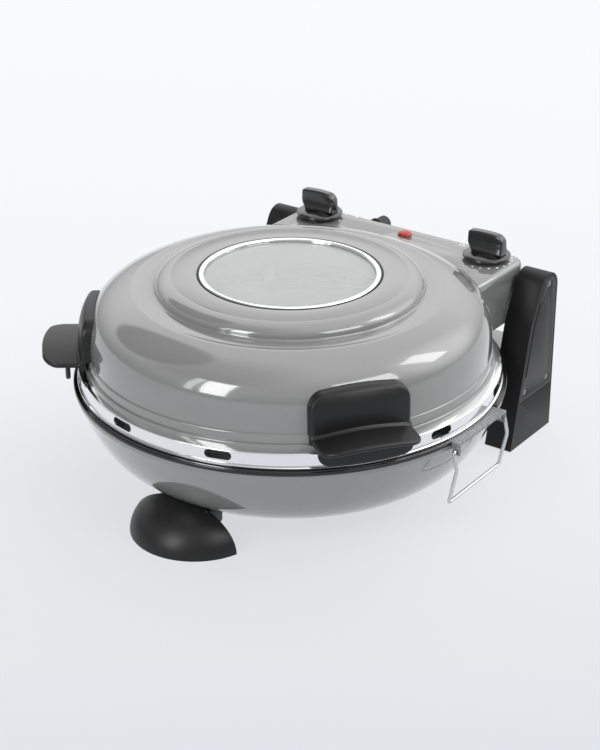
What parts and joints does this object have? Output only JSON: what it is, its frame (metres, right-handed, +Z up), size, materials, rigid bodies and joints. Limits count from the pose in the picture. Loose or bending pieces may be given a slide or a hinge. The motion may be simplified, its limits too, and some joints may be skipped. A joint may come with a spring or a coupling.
{
  "type": "electric pizza maker",
  "caption": "Round countertop pizza maker: bowl base with baking plate, domed lid with glass window and two handles, hinged between rear columns, with two knobs on a rear housing.",
  "frame": {"origin": "centre of the footprint's bounding box, on the table top", "axes": "+Z up, -Y towards the user (front foot side), +X to the right seen from the front"},
  "size_m": [0.3738, 0.3948, 0.1802],
  "materials": {
    "painted_steel": "gloss",
    "bright_steel": "polished",
    "sheet_steel": "satin",
    "heater_steel": "matt",
    "ceramic": "matt",
    "coated_aluminium": "satin, speckled",
    "black_plastic": "satin",
    "gloss_black_plastic": "gloss",
    "dark_cover_plastic": "satin",
    "black_rubber": "matt",
    "window_glass": "clear",
    "steel_wire": "polished",
    "fastener_steel": "satin",
    "nylon": "satin",
    "red_lens": "gloss, translucent",
    "wire_sleeving": "satin"
  },
  "bodies": {
    "base": {"base_bowl": "painted_steel", "base_rim_ring": "gloss_black_plastic", "base_reflector": "sheet_steel", "lower_heating_element": "heater_steel", "lower_element_clips": "sheet_steel", "lower_element_insulators": "ceramic", "baking_plate": "coated_aluminium", "front_foot": "black_plastic", "front_foot_screws": "fastener_steel", "left_column": "black_plastic", "right_column": "black_plastic", "left_column_cover": "dark_cover_plastic", "right_column_cover": "dark_cover_plastic", "column_cover_screws": "fastener_steel", "column_pads": "black_rubber", "hinge_bushes": "nylon", "rear_bracket": "painted_steel", "rear_bracket_screws": "fastener_steel"},
    "lid": {"lid_shell": "painted_steel", "lid_vent_ring": "bright_steel", "lid_reflector": "sheet_steel", "upper_heating_element": "heater_steel", "upper_element_clips": "sheet_steel", "upper_element_insulators": "ceramic", "window_glass": "window_glass", "window_gasket": "black_rubber", "window_trim_ring": "bright_steel", "window_clips": "sheet_steel", "left_handle": "black_plastic", "right_handle": "black_plastic", "handle_screws": "fastener_steel", "control_housing": "painted_steel", "housing_floor": "painted_steel", "housing_floor_screws": "fastener_steel", "left_hinge_bracket": "fastener_steel", "right_hinge_bracket": "fastener_steel", "timer_mechanism": "nylon", "thermostat_body": "ceramic", "pilot_lens": "red_lens", "pilot_lamp_holder": "nylon", "terminal_block": "ceramic", "wire_harness": "wire_sleeving", "cord_gland": "black_rubber"},
    "timer_dial": {"timer_knob": "gloss_black_plastic", "timer_shaft": "fastener_steel"},
    "thermostat_dial": {"thermostat_knob": "gloss_black_plastic", "thermostat_shaft": "fastener_steel"},
    "left_bail_loop": {"left_bail": "steel_wire"},
    "right_bail_loop": {"right_bail": "steel_wire"}
  },
  "joints": [
    {"name": "lid_hinge", "type": "hinge", "parent": "base", "child": "lid", "pos_m": [0, 0.1684, 0.136], "axis": [-1, 0, 0], "range_deg": [0, 95]},
    {"name": "timer_turn", "type": "hinge", "parent": "lid", "child": "timer_dial", "pos_m": [-0.088, 0.1569, 0.155], "axis": [0, 0, -1], "range_deg": [0, 300]},
    {"name": "thermostat_turn", "type": "hinge", "parent": "lid", "child": "thermostat_dial", "pos_m": [0.088, 0.1569, 0.155], "axis": [0, 0, -1], "range_deg": [0, 270]},
    {"name": "left_bail_swing", "type": "hinge", "parent": "base", "child": "left_bail_loop", "pos_m": [-0.182, -0.0086, 0.083], "axis": [0, 1, 0], "range_deg": [-15, 150]},
    {"name": "right_bail_swing", "type": "hinge", "parent": "base", "child": "right_bail_loop", "pos_m": [0.182, -0.0086, 0.083], "axis": [0, -1, 0], "range_deg": [-15, 150]}
  ]
}
